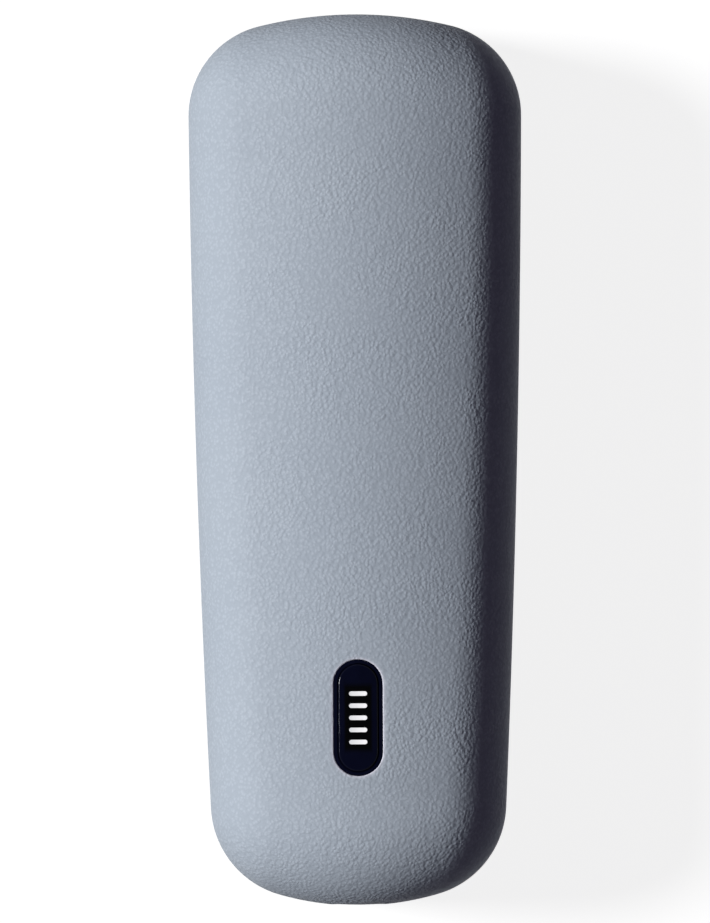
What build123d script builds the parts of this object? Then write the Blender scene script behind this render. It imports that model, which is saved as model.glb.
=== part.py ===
from build123d import *
import os
from functools import cache
from math import tan, radians, sqrt

os.makedirs("parts", exist_ok=True)

# A hard travel case that charges the shaver lying in it. It lies on its back, hinged along
# its left side. X runs across the case, Y along it towards the broad end, Z up to the lid.
# Sizes are in millimetres.

# Outer form
CASE_LENGTH = 198.0
CASE_WIDTH = 74.0
CASE_WIDTH_LOW = 65.7
WIDEST_FROM_TOP = 23.0
NARROWEST_FROM_BOTTOM = 22.0
SIDE_RADIUS = 4000.0
HEAD_END_RADIUS = 94.0
FOOT_END_RADIUS = 65.0
SHOULDER_RADIUS = 20.5
CORNER_RADIUS = 21.0
LID_DEPTH = 28.0
BASE_DEPTH = 28.0
CROWN_RADIUS = 65.0
EDGE_ROLL = 19.5
BACK_ROLL = 14.0

# Walls, from the outside in
SKIN = 0.8
SHELL = 1.6
TONGUE = 1.2
LINER = 1.2
LINER_GAP = 0.1
SKIN_EDGE = 0.35

# How far the blocks that the form is cut from run past it
SPARE = 5.0

# Rims, where the halves meet
PARTING_GAP = 0.3
RIM_BAND = 3.0
RIM_TONGUE_DEPTH = 6.0
RIM_CHAMFER = 0.3
RIM_SEAT = 0.2
DECK_SINK = 0.5
DECK_FLANGE = 0.8
DECK = 1.5

# Ends of the case, from which places along it are measured
HEAD_END_Y = CASE_LENGTH / 2
FOOT_END_Y = -CASE_LENGTH / 2

# Thumb notch at the opening side
NOTCH_Y = -8.0
NOTCH_LENGTH = 24.0
NOTCH_DEPTH = 1.2
NOTCH_EDGE = 0.6

# Hinge
HINGE_Y = 0.0
HINGE_LENGTH = 97.0
KNUCKLES = 7
KNUCKLE_RADIUS = 2.2
KNUCKLE_GAP = 0.3
HINGE_SINK = 0.3
PIN_RADIUS = 0.9
PIN_CLEARANCE = 0.03
OPEN_ANGLE = 101.0
RAIL_INNER = 3.0
RAIL_LAP = 0.4
RAIL_DEPTH = 3.4
GUARD_DEPTH = 4.8

# Pocket for the shaver
HEAD_POCKET_Y = HEAD_END_Y - 77.0
HEAD_POCKET_CORNER = 10.0
TUB_WIDTH = 46.0
TUB_END_Y = FOOT_END_Y + 15.5
TUB_END_CORNER = 14.0
TUB_DEPTH = 16.9
TUB_FLOOR_ROUND = 6.0
THROAT_START_Y = HEAD_POCKET_Y - 9.0
THROAT_WIDTH = 60.0
THROAT_LENGTH = 18.0
THROAT_ROUND = 7.0
SCOOP_WIDTH = 55.0
SCOOP_LENGTH = 30.0
SCOOP_CORNER = 12.0
SCOOP_Y = HEAD_POCKET_Y - 45.0
SCOOP_DEPTH = 11.5

# Deck fittings: each spot is a place along the case and how far in from the side it lies
SCREW_SPOTS = ((HEAD_POCKET_Y - 23.5, 8.7), (FOOT_END_Y + 35.0, 6.6))
SCREW_HEAD_RADIUS = 1.8
SCREW_HEAD = 1.1
SCREW_RADIUS = 1.0
SCREW_LENGTH = 8.0
SCREW_BOSS_RADIUS = 2.9
SCREW_BOSS_DEPTH = 4.8
POST_RADIUS = 2.5
MAGNET_SPOTS = ((HEAD_POCKET_Y - 14.0, 7.1), (FOOT_END_Y + 49.0, 7.1))
MAGNET_RADIUS = 2.25
MAGNET_THICKNESS = 2.0
MAGNET_BOSS_WALL = 0.8
BUMPER_SPOTS = ((FOOT_END_Y + 56.0, 6.4), (FOOT_END_Y + 26.0, 6.4))
BUMPER_RADIUS = 1.4
BUMPER_SEAT = 0.5
BUMPER_CLEARANCE = 0.1
BUMPER_ROUND = 0.35
FITTING_SINK = 0.1
SLOT_REACH = 0.65
SLOT_HALF_WIDTH = 0.15
SLOT_DEPTH = 0.35

# Feet
FOOT_PROUD = 0.6
FOOT_SEAT = 0.5
FOOT_LENGTH = 36.0
FOOT_WIDTH = 8.0
FOOT_CHAMFER = 0.2
FOOT_PAD_YS = (FOOT_END_Y + 37.0, HEAD_END_Y - 37.0)

# Floor ribs of the base shell
RIB = 1.2
RIB_X = 12.0
RIB_GAP = 0.1

# Indicator button and its bezel
WINDOW_Y = FOOT_END_Y + 42.15
WINDOW_WIDTH = 10.8
WINDOW_LENGTH = 25.7
BEZEL_WALL = 0.8
BEZEL_SINK = 0.12
BEZEL_FLANGE = 1.0
BEZEL_FLANGE_GROW = 2.0
BUTTON_CLEARANCE = 0.15
BUTTON_SINK = 0.1
BUTTON_EDGE = 0.5
BUTTON_LIP = 0.8
BUTTON_LIP_GROW = 0.9
BUTTON_LIP_GAP = 0.12
BAR_COUNT = 5
BAR_PITCH = 2.67
BAR_LENGTH = 4.0
BAR_THICKNESS = 1.0
BAR_PROUD = 0.03
GUIDE_WIDTH = 6.0
GUIDE_LENGTH = 15.0
GUIDE_CORNER = 1.0
GUIDE_BASE = 1.0
GUIDE_ROOF = 1.5
SWITCH_OFFSET = 9.4
SWITCH_SIZE = 3.4
SWITCH_HEIGHT = 0.75
PLUNGER_RADIUS = 0.8
PLUNGER_CLEARANCE = 0.1
PAD_WALL = 0.7
PAD_GAP = 0.05

# Control board under the lid
BOARD_WIDTH = 32.0
BOARD_LENGTH = 50.0
BOARD_END_Y = FOOT_END_Y + 16.0
BOARD_TOP = 50.8
BOARD = 1.0
BOARD_CORNER = 6.0
BOARD_SCREW_X = 13.0
BOARD_SCREW_END = 4.5
BOARD_BOSS_RADIUS = 2.0
BOARD_SCREW_RADIUS = 0.9
BOARD_SCREW_HEAD_RADIUS = 1.7
BOARD_SCREW_HEAD = 1.0
BOARD_SCREW_REACH = 1.2
LED_SIZE = (1.6, 0.9, 0.6)
CHIP_SIZE = 4.4
CHIP_HEIGHT = 0.9
CHIP_X = 11.4
CHIP_YS = (BOARD_END_Y + 35.0, BOARD_END_Y + 23.0)
CHIP_CHAMFER = 0.15
PLUG_SIZE = (6.4, 3.6, 1.7)

# Battery over the handle channel
CELL_WIDTH = 34.0
CELL_THICKNESS = 4.0
CELL_END_Y = BOARD_END_Y + BOARD_LENGTH + 5.0
CELL_HEAD_ROOM = 6.0
CELL_LENGTH = HEAD_POCKET_Y - CELL_HEAD_ROOM - CELL_END_Y
CELL_PAD = 0.9
CELL_PAD_MARGIN = 2.5
CELL_EDGE = 1.2
LEAD_RADIUS = 0.5
LEAD_X = 1.6

# Sprung charging contacts
CONTACT_Y = FOOT_END_Y + 25.0
CONTACT_X = 3.5
CONTACT_TRAVEL = 1.2
CONTACT_REST = 0.1
CONTACT_REACH = CONTACT_TRAVEL + CONTACT_REST
BARREL_RADIUS = 1.1
BARREL_BORE = 0.8
BARREL_MOUTH = 0.6
BARREL_LIP = 0.55
BARREL_WINDOW = 0.1
BARREL_HEAD = 0.3
PIN_RUN = 0.05
PIN_COLLAR = 1.0
PIN_TIP_ROUND = 0.44
BLOCK_WIDTH = 14.0
BLOCK_LENGTH = 6.0
SPRING_WIRE = 0.09
SPRING_TURNS = 3

# Power inlet at the narrow end
INLET_RISE = 8.0
INLET_WIDTH = 10.0
INLET_HEIGHT = 6.2
INLET_DEPTH = 7.0
INLET_WALL = 1.4
INLET_SINK = 0.3
INLET_BACK = 10.5
INLET_FLANGE = 1.4
INLET_FLANGE_GROW = 1.4
INLET_PIN_RADIUS = 0.75
INLET_PIN_X = 2.2
INLET_PIN_SHORT = 1.3
INLET_PIN_CHAMFER = 0.25
INLET_TAIL = 0.8
LEAD_BEND = 1.4
LEAD_LAST_BEND = 1.26

BASE = -1
LID = 1
PART_Z = FOOT_PROUD + BASE_DEPTH
LID_TOP = PART_Z + LID_DEPTH
SHELL_INNER = SKIN + SHELL
TONGUE_INNER = SHELL_INNER + TONGUE
LINER_OUTER = TONGUE_INNER + LINER_GAP
POCKET = LINER_OUTER + LINER
SEAT_DEPTH = DECK_SINK + DECK_FLANGE
BOARD_Y = BOARD_END_Y + BOARD_LENGTH / 2
BOARD_UNDER = BOARD_TOP - BOARD
ROOF_INNER = PART_Z + TUB_DEPTH
ROOF_OUTER = ROOF_INNER + LINER


# Plan of the case: round ends, nearly straight sides, round corners between them
def side_centre():
    broad = Vector(CASE_WIDTH / 2, CASE_LENGTH / 2 - WIDEST_FROM_TOP, 0)
    narrow = Vector(CASE_WIDTH_LOW / 2, NARROWEST_FROM_BOTTOM - CASE_LENGTH / 2, 0)
    along = broad - narrow
    outward = Vector(along.Y, -along.X, 0).normalized()
    reach = sqrt(SIDE_RADIUS**2 - (along.length / 2) ** 2)
    return (broad + narrow) * 0.5 - outward * reach


def tangent_centre(centre_a, radius_a, centre_b, radius_b, way):
    span = centre_b - centre_a
    along = (span.length**2 + radius_a**2 - radius_b**2) / (2 * span.length)
    off = sqrt(radius_a**2 - along**2)
    unit = span.normalized()
    normal = Vector(-unit.Y, unit.X, 0)
    foot = centre_a + unit * along
    return max((foot + normal * off, foot - normal * off), key=lambda point: point.Y * way)


def outline(inset):
    side = side_centre()
    head = Vector(0, CASE_LENGTH / 2 - HEAD_END_RADIUS, 0)
    foot = Vector(0, FOOT_END_RADIUS - CASE_LENGTH / 2, 0)
    shoulder = tangent_centre(
        head, HEAD_END_RADIUS - SHOULDER_RADIUS, side, SIDE_RADIUS - SHOULDER_RADIUS, 1
    )
    corner = tangent_centre(foot, FOOT_END_RADIUS - CORNER_RADIUS, side, SIDE_RADIUS - CORNER_RADIUS, -1)
    joints = [
        head + (shoulder - head).normalized() * (HEAD_END_RADIUS - inset),
        side + (shoulder - side).normalized() * (SIDE_RADIUS - inset),
        side + (corner - side).normalized() * (SIDE_RADIUS - inset),
        foot + (corner - foot).normalized() * (FOOT_END_RADIUS - inset),
    ]
    centres = [shoulder, side, corner]
    radii = [SHOULDER_RADIUS, SIDE_RADIUS, CORNER_RADIUS]
    right = []
    for start, end, centre, radius in zip(joints, joints[1:], centres, radii):
        middle = ((start - centre).normalized() + (end - centre).normalized()).normalized()
        right.append((start, centre + middle * (radius - inset), end))
    edges = [ThreePointArc(flip(joints[0]), (0, CASE_LENGTH / 2 - inset), joints[0])]
    edges += [ThreePointArc(*points) for points in right]
    edges += [ThreePointArc(joints[-1], (0, inset - CASE_LENGTH / 2), flip(joints[-1]))]
    edges += [ThreePointArc(*[flip(point) for point in reversed(points)]) for points in reversed(right)]
    return Face(Wire(edges))


def flip(point):
    return Vector(-point.X, point.Y, 0)


def half_width(y):
    side = side_centre()
    return side.X + sqrt(SIDE_RADIUS**2 - (y - side.Y) ** 2)


# Solids that the pieces are cut from
def prism(face, z_a, z_b):
    low, high = min(z_a, z_b), max(z_a, z_b)
    return Solid.extrude((Pos(0, 0, low) * face).faces()[0], Vector(0, 0, high - low))


def box(x_a, x_b, y_a, y_b, z_a, z_b):
    size = (abs(x_b - x_a), abs(y_b - y_a), abs(z_b - z_a))
    return Pos((x_a + x_b) / 2, (y_a + y_b) / 2, (z_a + z_b) / 2) * Box(*size)


def disc(x, y, radius, z_a, z_b):
    return Pos(x, y, (z_a + z_b) / 2) * Cylinder(radius, abs(z_b - z_a))


def pill(width, length, y, z_a, z_b):
    return prism(Pos(0, y) * SlotOverall(length, width, rotation=90), z_a, z_b)


def joined(pieces):
    pieces = list(pieces)
    return pieces[0].fuse(*pieces[1:]) if len(pieces) > 1 else pieces[0]


def level(side, depth):
    return PART_Z + side * (PARTING_GAP / 2 + depth)


def slab(side, inset, depth_a, depth_b):
    return prism(outline(inset), level(side, depth_a), level(side, depth_b))


@cache
def crown(inset):
    radius = CROWN_RADIUS - inset
    centre = LID_TOP - CROWN_RADIUS
    reach = CASE_WIDTH / 2 + SPARE
    edge = centre + sqrt(radius**2 - reach**2)
    low = PART_Z - SPARE
    profile = [
        Line((-reach, 0, low), (-reach, 0, edge)),
        ThreePointArc((-reach, 0, edge), (0, 0, centre + radius), (reach, 0, edge)),
        Line((reach, 0, edge), (reach, 0, low)),
        Line((reach, 0, low), (-reach, 0, low)),
    ]
    return Pos(0, -CASE_LENGTH, 0) * Solid.extrude(Face(Wire(profile)), Vector(0, 2 * CASE_LENGTH, 0))


@cache
def half_form(side, inset):
    if side == LID:
        block = prism(outline(inset), PART_Z, LID_TOP + SPARE) & crown(inset)
        return fillet(block.faces().sort_by(Axis.Z)[-1].edges(), EDGE_ROLL - inset)
    block = Solid.extrude(Pos(0, 0, FOOT_PROUD + inset) * outline(inset), Vector(0, 0, BASE_DEPTH - inset))
    return fillet(block.faces().sort_by(Axis.Z)[0].edges(), BACK_ROLL - inset)


def beyond(side, depth):
    reach = CASE_LENGTH
    return box(-reach, reach, -reach, reach, level(side, depth), level(side, depth + reach))


# Hinge line along the left side: u inward, v down, w along the case
def hinge_plane():
    side = flip(side_centre())
    outward = Vector(-half_width(HINGE_Y) - side.X, HINGE_Y - side.Y, 0).normalized()
    centre = side + outward * (SIDE_RADIUS - KNUCKLE_RADIUS - HINGE_SINK)
    return Plane(
        origin=(centre.X, centre.Y, PART_Z), x_dir=outward * -1, z_dir=Vector(outward.Y, -outward.X, 0)
    )


def hinge_bar(u_a, u_b, v_a, v_b, extra=0.0):
    size = (abs(u_b - u_a), abs(v_b - v_a), HINGE_LENGTH + 2 * extra)
    return hinge_plane() * (Pos((u_a + u_b) / 2, (v_a + v_b) / 2) * Box(*size))


def hinge_rod(radius, w_a, w_b):
    return hinge_plane() * (Pos(0, 0, (w_a + w_b) / 2) * Cylinder(radius, w_b - w_a))


def knuckle_spans(side):
    pitch = (HINGE_LENGTH + KNUCKLE_GAP) / KNUCKLES
    first = 0 if side == BASE else 1
    start = -HINGE_LENGTH / 2
    return [(start + i * pitch, start + (i + 1) * pitch - KNUCKLE_GAP) for i in range(first, KNUCKLES, 2)]


def hinge_wedge():
    reach = 2 * (KNUCKLE_RADIUS + HINGE_SINK)
    rise = reach * tan(radians(OPEN_ANGLE / 2))
    face = Face(Wire.make_polygon([(0, 0), (-reach, -rise), (-reach, rise)]))
    wedge = Solid.extrude(Pos(0, 0, -CASE_LENGTH) * face, Vector(0, 0, 2 * CASE_LENGTH))
    return hinge_plane() * wedge


# Skin and shell of one half
def skin(side):
    cover = half_form(side, 0) & beyond(side, RIM_BAND)
    rim_face = cover.faces().sort_by(Axis.Z)[0 if side == LID else -1]
    cover = fillet(rim_face.edges(), SKIN_EDGE)
    return cover - half_form(side, SKIN)


def deck_places(spots, ways=(-1, 1)):
    return [(way * (half_width(y) - inward), y) for y, inward in spots for way in ways]


def screw_discs(side, radius, depth_a, depth_b):
    ends = level(side, depth_a), level(side, depth_b)
    return [disc(x, y, radius, *ends) for x, y in deck_places(SCREW_SPOTS)]


# The posts and what else stands in the shell are left standing when it is hollowed
def shell(side, standing):
    hollow = half_form(side, SHELL_INNER)
    for solid in screw_discs(side, POST_RADIUS, SCREW_BOSS_DEPTH, BASE_DEPTH) + standing:
        hollow -= solid
    piece = (half_form(side, SKIN) - hollow) & beyond(side, RIM_BAND)
    for bore in screw_discs(side, SCREW_RADIUS, 0, SCREW_BOSS_DEPTH + SCREW_LENGTH):
        piece -= bore
    return piece


def base_skin():
    piece = skin(BASE)
    for y in FOOT_PAD_YS:
        piece -= Pos(0, y, 0) * foot_pad()
    return piece


def base_shell():
    floor = FOOT_PROUD + SHELL_INNER
    tub_under = PART_Z - TUB_DEPTH - LINER
    ribs = []
    for x in (-RIB_X, RIB_X):
        rib = (x - RIB / 2, x + RIB / 2, TUB_END_Y + TUB_END_CORNER, THROAT_START_Y)
        ribs.append(box(*rib, floor - SHELL / 2, tub_under - RIB_GAP))
    return shell(BASE, ribs)


def foot_pad():
    return prism(SlotOverall(FOOT_LENGTH, FOOT_WIDTH), 0, FOOT_PROUD + FOOT_SEAT)


def feet():
    pad = foot_pad()
    pad = chamfer(pad.faces().sort_by(Axis.Z)[0].edges(), FOOT_CHAMFER)
    return Compound([Pos(0, y, 0) * pad for y in FOOT_PAD_YS])


# Rim of one half, with its hinge rail and knuckles
def notch_cutter():
    radius = ((NOTCH_LENGTH / 2) ** 2 + NOTCH_DEPTH**2) / (2 * NOTCH_DEPTH)
    reach = PARTING_GAP / 2 + RIM_BAND - NOTCH_EDGE
    x = half_width(NOTCH_Y) - NOTCH_DEPTH + radius
    return disc(x, NOTCH_Y, radius, PART_Z - reach, PART_Z + reach)


def rim(side):
    band = slab(side, 0, 0, RIM_BAND)
    parting_face = band.faces().sort_by(Axis.Z)[0 if side == LID else -1]
    band = chamfer(parting_face.edges(), RIM_CHAMFER)
    tongue = slab(side, SHELL_INNER, RIM_BAND, RIM_TONGUE_DEPTH)
    piece = joined([band, tongue])
    piece -= slab(side, TONGUE_INNER, 0, RIM_TONGUE_DEPTH)
    piece -= slab(side, SHELL_INNER + RIM_SEAT, 0, SEAT_DEPTH)
    rail_outer = TONGUE_INNER - KNUCKLE_RADIUS - HINGE_SINK - RAIL_LAP
    piece += hinge_bar(rail_outer, RAIL_INNER, -side * PARTING_GAP / 2, -side * RAIL_DEPTH)
    piece -= hinge_wedge()
    for start, end in knuckle_spans(-side):
        piece -= hinge_rod(KNUCKLE_RADIUS + KNUCKLE_GAP, start - KNUCKLE_GAP, end + KNUCKLE_GAP)
    for start, end in knuckle_spans(side):
        piece += hinge_rod(KNUCKLE_RADIUS, start, end)
    bore = PIN_RADIUS if side == BASE else PIN_RADIUS + PIN_CLEARANCE
    piece -= hinge_rod(bore, -HINGE_LENGTH / 2, HINGE_LENGTH / 2)
    return piece - notch_cutter()


def hinge_pin():
    return hinge_rod(PIN_RADIUS, -HINGE_LENGTH / 2, HINGE_LENGTH / 2)


# Liner of one half: deck, head pocket, handle tub and finger scoops
def tub_plan():
    half = TUB_WIDTH / 2
    throat = THROAT_WIDTH / 2
    far = THROAT_START_Y + THROAT_LENGTH
    right = [(half, TUB_END_Y), (half, THROAT_START_Y), (throat, HEAD_POCKET_Y), (throat, far)]
    left = [(-x, y) for x, y in reversed(right)]
    plan = Face(Wire.make_polygon(right + left))
    ends = plan.vertices().sort_by(Axis.Y)[:2]
    plan = plan.fillet_2d(TUB_END_CORNER, ends)
    throats = plan.vertices().filter_by_position(Axis.Y, THROAT_START_Y, HEAD_POCKET_Y)
    return plan.fillet_2d(THROAT_ROUND, throats)


def scoop_plan():
    return Pos(0, SCOOP_Y) * RectangleRounded(SCOOP_WIDTH, SCOOP_LENGTH, SCOOP_CORNER)


def dish(side, plan, depth, grow):
    face = offset(plan, grow) if grow else plan
    solid = prism(face, PART_Z, PART_Z + side * (depth + grow))
    floor = solid.faces().sort_by(Axis.Z)[-1 if side == LID else 0]
    return fillet(floor.edges(), TUB_FLOOR_ROUND + grow)


def head_pocket(side, inset, grow):
    y = HEAD_POCKET_Y - grow
    width = 2 * (half_width(y) - inset)
    plan = Pos(0, y + CASE_WIDTH) * RectangleRounded(width, 2 * CASE_WIDTH, HEAD_POCKET_CORNER + grow)
    return half_form(side, inset) & prism(plan, PART_Z - LID_TOP, PART_Z + LID_TOP)


def pocket(side):
    tub = dish(side, tub_plan(), TUB_DEPTH, 0)
    scoops = dish(side, scoop_plan(), SCOOP_DEPTH, 0)
    return joined([head_pocket(side, POCKET, 0), tub & half_form(side, POCKET), scoops])


def liner(side):
    cup = half_form(side, LINER_OUTER) & beyond(side, DECK_SINK)
    tub = dish(side, tub_plan(), TUB_DEPTH, LINER)
    scoops = dish(side, scoop_plan(), SCOOP_DEPTH, LINER)
    rail_depth = (side * DECK_SINK, -side * (RAIL_DEPTH + LINER_GAP))
    pieces = [
        slab(side, LINER_OUTER, DECK_SINK, DECK_SINK + DECK),
        slab(side, SHELL_INNER + RIM_SEAT + LINER_GAP, DECK_SINK, SEAT_DEPTH),
        head_pocket(side, LINER_OUTER, LINER) & cup,
        tub & cup,
        scoops & cup,
    ]
    for x, y in deck_places(SCREW_SPOTS):
        pieces.append(disc(x, y, SCREW_BOSS_RADIUS, level(side, DECK_SINK), level(side, SCREW_BOSS_DEPTH)))
    for x, y in deck_places(MAGNET_SPOTS, (1,)):
        deep = DECK_SINK + FITTING_SINK + MAGNET_THICKNESS + MAGNET_BOSS_WALL
        boss = MAGNET_RADIUS + MAGNET_BOSS_WALL
        pieces.append(disc(x, y, boss, level(side, DECK_SINK), level(side, deep)))
    piece = joined(pieces) - pocket(side)
    guard_depth = (-side * (DECK_SINK + PARTING_GAP / 2), -side * GUARD_DEPTH)
    piece += hinge_bar(RAIL_INNER - LINER, RAIL_INNER + LINER_GAP + LINER, *guard_depth, LINER)
    piece -= hinge_bar(-2 * KNUCKLE_RADIUS, RAIL_INNER + LINER_GAP, *rail_depth, LINER_GAP)
    for x, y in deck_places(SCREW_SPOTS):
        head_seat = DECK_SINK + FITTING_SINK + SCREW_HEAD
        piece -= disc(x, y, SCREW_HEAD_RADIUS + LINER_GAP, level(side, DECK_SINK), level(side, head_seat))
        piece -= disc(x, y, SCREW_RADIUS, level(side, DECK_SINK), level(side, SCREW_BOSS_DEPTH))
    for x, y in deck_places(MAGNET_SPOTS, (1,)):
        deep = DECK_SINK + FITTING_SINK + MAGNET_THICKNESS
        piece -= disc(x, y, MAGNET_RADIUS, level(side, DECK_SINK), level(side, deep))
    return piece


def base_liner():
    piece = liner(BASE)
    for x, y in deck_places(BUMPER_SPOTS, (1,)):
        piece -= disc(x, y, BUMPER_RADIUS, level(BASE, DECK_SINK), level(BASE, DECK_SINK + BUMPER_SEAT))
    return piece


def lid_liner():
    piece = liner(LID)
    for x in (-CONTACT_X, CONTACT_X):
        piece -= disc(x, CONTACT_Y, BARREL_RADIUS + BARREL_WINDOW, PART_Z, ROOF_OUTER + LINER)
    return piece


# Small fittings of the decks
def deck_screws(side):
    screws = []
    for x, y in deck_places(SCREW_SPOTS):
        top = DECK_SINK + FITTING_SINK
        under = top + SCREW_HEAD
        head = disc(x, y, SCREW_HEAD_RADIUS, level(side, top), level(side, under))
        shank = disc(x, y, SCREW_RADIUS, level(side, under), level(side, under + SCREW_LENGTH))
        screws.append(cross_slotted(head + shank, x, y, level(side, top), side, SCREW_HEAD_RADIUS))
    return Compound(screws)


def cross_slotted(screw, x, y, z, way, radius):
    arm = radius * SLOT_REACH
    half = radius * SLOT_HALF_WIDTH
    deep = z + way * radius * SLOT_DEPTH
    slot = box(x - arm, x + arm, y - half, y + half, z, deep)
    slot += box(x - half, x + half, y - arm, y + arm, z, deep)
    return screw - slot


def deck_discs(side):
    low = DECK_SINK + FITTING_SINK
    discs = []
    for x, y in deck_places(MAGNET_SPOTS, (1,)):
        discs.append(disc(x, y, MAGNET_RADIUS, level(side, low), level(side, low + MAGNET_THICKNESS)))
    return Compound(discs)


def closing_bumpers():
    top = PART_Z + PARTING_GAP / 2 + DECK_SINK - BUMPER_CLEARANCE
    bumpers = []
    for x, y in deck_places(BUMPER_SPOTS, (1,)):
        bumper = disc(x, y, BUMPER_RADIUS, level(BASE, DECK_SINK + BUMPER_SEAT), top)
        bumpers.append(fillet(bumper.faces().sort_by(Axis.Z)[-1].edges(), BUMPER_ROUND))
    return Compound(bumpers)


# Lid: the window for the button, and the shell with its posts
def window(grow, z_a, z_b):
    return pill(WINDOW_WIDTH + 2 * grow, WINDOW_LENGTH + 2 * grow, WINDOW_Y, z_a, z_b)


def window_top(grow, inset, z_low):
    return window(grow, z_low, LID_TOP + SPARE) & crown(inset)


def inlet_prism(grow, y_a, y_b):
    width = INLET_WIDTH + 2 * grow
    height = INLET_HEIGHT + 2 * grow
    face = Plane.XZ * SlotOverall(width, height)
    solid = Solid.extrude(face.faces()[0], Vector(0, y_b - y_a, 0))
    return Pos(0, y_a, PART_Z + INLET_RISE) * solid


def lid_skin():
    piece = skin(LID)
    piece -= window(0, ROOF_OUTER, LID_TOP + SPARE)
    ring = [e for e in piece.edges() if is_window_rim(e)]
    piece = fillet(ring, SKIN_EDGE)
    return piece - inlet_prism(INLET_WALL, -CASE_LENGTH, TUB_END_Y)


def crown_height(x):
    return LID_TOP - CROWN_RADIUS + sqrt(CROWN_RADIUS**2 - x**2)


def is_window_rim(edge):
    size = edge.bounding_box()
    centre = size.center()
    inside = abs(centre.Y - WINDOW_Y) < WINDOW_LENGTH / 2 and abs(centre.X) < WINDOW_WIDTH / 2 + SKIN
    level_edge = size.size.Z < SKIN - SKIN_EDGE / 2
    return inside and level_edge and centre.Z > crown_height(WINDOW_WIDTH / 2) - SKIN / 2


def board_places():
    ys = (BOARD_END_Y + BOARD_SCREW_END, BOARD_END_Y + BOARD_LENGTH - BOARD_SCREW_END)
    return [(way * BOARD_SCREW_X, y) for y in ys for way in (-1, 1)]


def lid_shell():
    bosses = [disc(x, y, BOARD_BOSS_RADIUS, BOARD_TOP, LID_TOP) for x, y in board_places()]
    piece = shell(LID, bosses)
    for x, y in board_places():
        piece -= disc(x, y, BOARD_SCREW_RADIUS, BOARD_TOP, BOARD_TOP + BOARD_SCREW_REACH)
    piece -= window(0, ROOF_OUTER, LID_TOP + SPARE)
    return piece - inlet_prism(INLET_WALL, -CASE_LENGTH, TUB_END_Y)


def lid_rim():
    grow = INLET_WALL + INLET_FLANGE_GROW + LINER_GAP
    half = INLET_WIDTH / 2 + grow
    reach = INLET_HEIGHT / 2 + grow
    middle = PART_Z + INLET_RISE
    low = max(middle - reach, level(LID, RIM_BAND))
    return rim(LID) - box(-half, half, -CASE_LENGTH, TUB_END_Y, low, middle + reach)


# Indicator: bezel, button, light guide, plunger, return pad
def indicator_bezel():
    ring = window_top(0, BEZEL_SINK, ROOF_OUTER) - crown(SHELL_INNER)
    plate = window_top(BEZEL_FLANGE_GROW, SHELL_INNER, ROOF_OUTER) - crown(SHELL_INNER + BEZEL_FLANGE)
    return joined([ring, plate]) - window(-BEZEL_WALL, ROOF_OUTER, LID_TOP + SPARE)


def bars(top_inset, z_low):
    first = WINDOW_Y - BAR_PITCH * (BAR_COUNT - 1) / 2
    fins = []
    for i in range(BAR_COUNT):
        face = SlotOverall(BAR_LENGTH, BAR_THICKNESS)
        fins.append(prism(Pos(0, first + i * BAR_PITCH) * face, z_low, LID_TOP + SPARE) & crown(top_inset))
    return fins


def guide_top():
    return crown_height(0) - BUTTON_SINK - GUIDE_ROOF


def guide_block(z_a, z_b):
    return prism(Pos(0, WINDOW_Y) * RectangleRounded(GUIDE_WIDTH, GUIDE_LENGTH, GUIDE_CORNER), z_a, z_b)


LIP_UNDER = SHELL_INNER + BEZEL_FLANGE + BUTTON_LIP_GAP + BUTTON_LIP


def indicator_button():
    cap = window_top(-BEZEL_WALL - BUTTON_CLEARANCE, BUTTON_SINK, BOARD_TOP)
    cap = fillet(cap.faces().sort_by(Axis.Z)[-1].edges(), BUTTON_EDGE)
    lip = window_top(BUTTON_LIP_GROW - BEZEL_WALL - BUTTON_CLEARANCE, LIP_UNDER - BUTTON_LIP, BOARD_TOP)
    piece = joined([cap, lip]) - crown(LIP_UNDER)
    piece -= guide_block(BOARD_TOP, guide_top())
    return piece - joined(bars(-SPARE, guide_top() - GUIDE_BASE))


def light_guide():
    base = guide_block(guide_top() - GUIDE_BASE, guide_top())
    return joined([base] + bars(BUTTON_SINK - BAR_PROUD, guide_top() - GUIDE_BASE / 2))


def switch_y():
    return WINDOW_Y - SWITCH_OFFSET


def switch_body():
    half = SWITCH_SIZE / 2
    y = switch_y()
    body = box(-half, half, y - half, y + half, BOARD_TOP, BOARD_TOP + SWITCH_HEIGHT)
    bore = PLUNGER_RADIUS + PLUNGER_CLEARANCE
    return body - disc(0, y, bore, BOARD_TOP + PLUNGER_CLEARANCE, BOARD_TOP + SWITCH_HEIGHT)


def switch_plunger():
    low = BOARD_TOP + SWITCH_HEIGHT - PLUNGER_CLEARANCE
    return disc(0, switch_y(), PLUNGER_RADIUS, low, LID_TOP) & crown(LIP_UNDER)


def button_return_pad():
    grow = BUTTON_LIP_GROW - BEZEL_WALL - BUTTON_CLEARANCE
    ring = window(grow, BOARD_TOP, LID_TOP) - window(grow - PAD_WALL, BOARD_TOP, LID_TOP)
    return ring & crown(LIP_UNDER + PAD_GAP)


# Control board and what is on it
def control_board():
    plan = Pos(0, BOARD_Y) * Rectangle(BOARD_WIDTH, BOARD_LENGTH)
    plan = chamfer(plan.vertices().sort_by(Axis.Y)[:2], BOARD_CORNER)
    piece = prism(plan.face(), BOARD_UNDER, BOARD_TOP)
    for x, y in board_places():
        piece -= disc(x, y, BOARD_SCREW_RADIUS, BOARD_UNDER, BOARD_TOP)
    return piece


def status_leds():
    first = WINDOW_Y - BAR_PITCH * (BAR_COUNT - 1) / 2
    width, length, height = LED_SIZE
    led = Pos(0, first, BOARD_TOP + height / 2) * Box(width, length, height)
    return Compound([Pos(0, i * BAR_PITCH, 0) * led for i in range(BAR_COUNT)])


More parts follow.
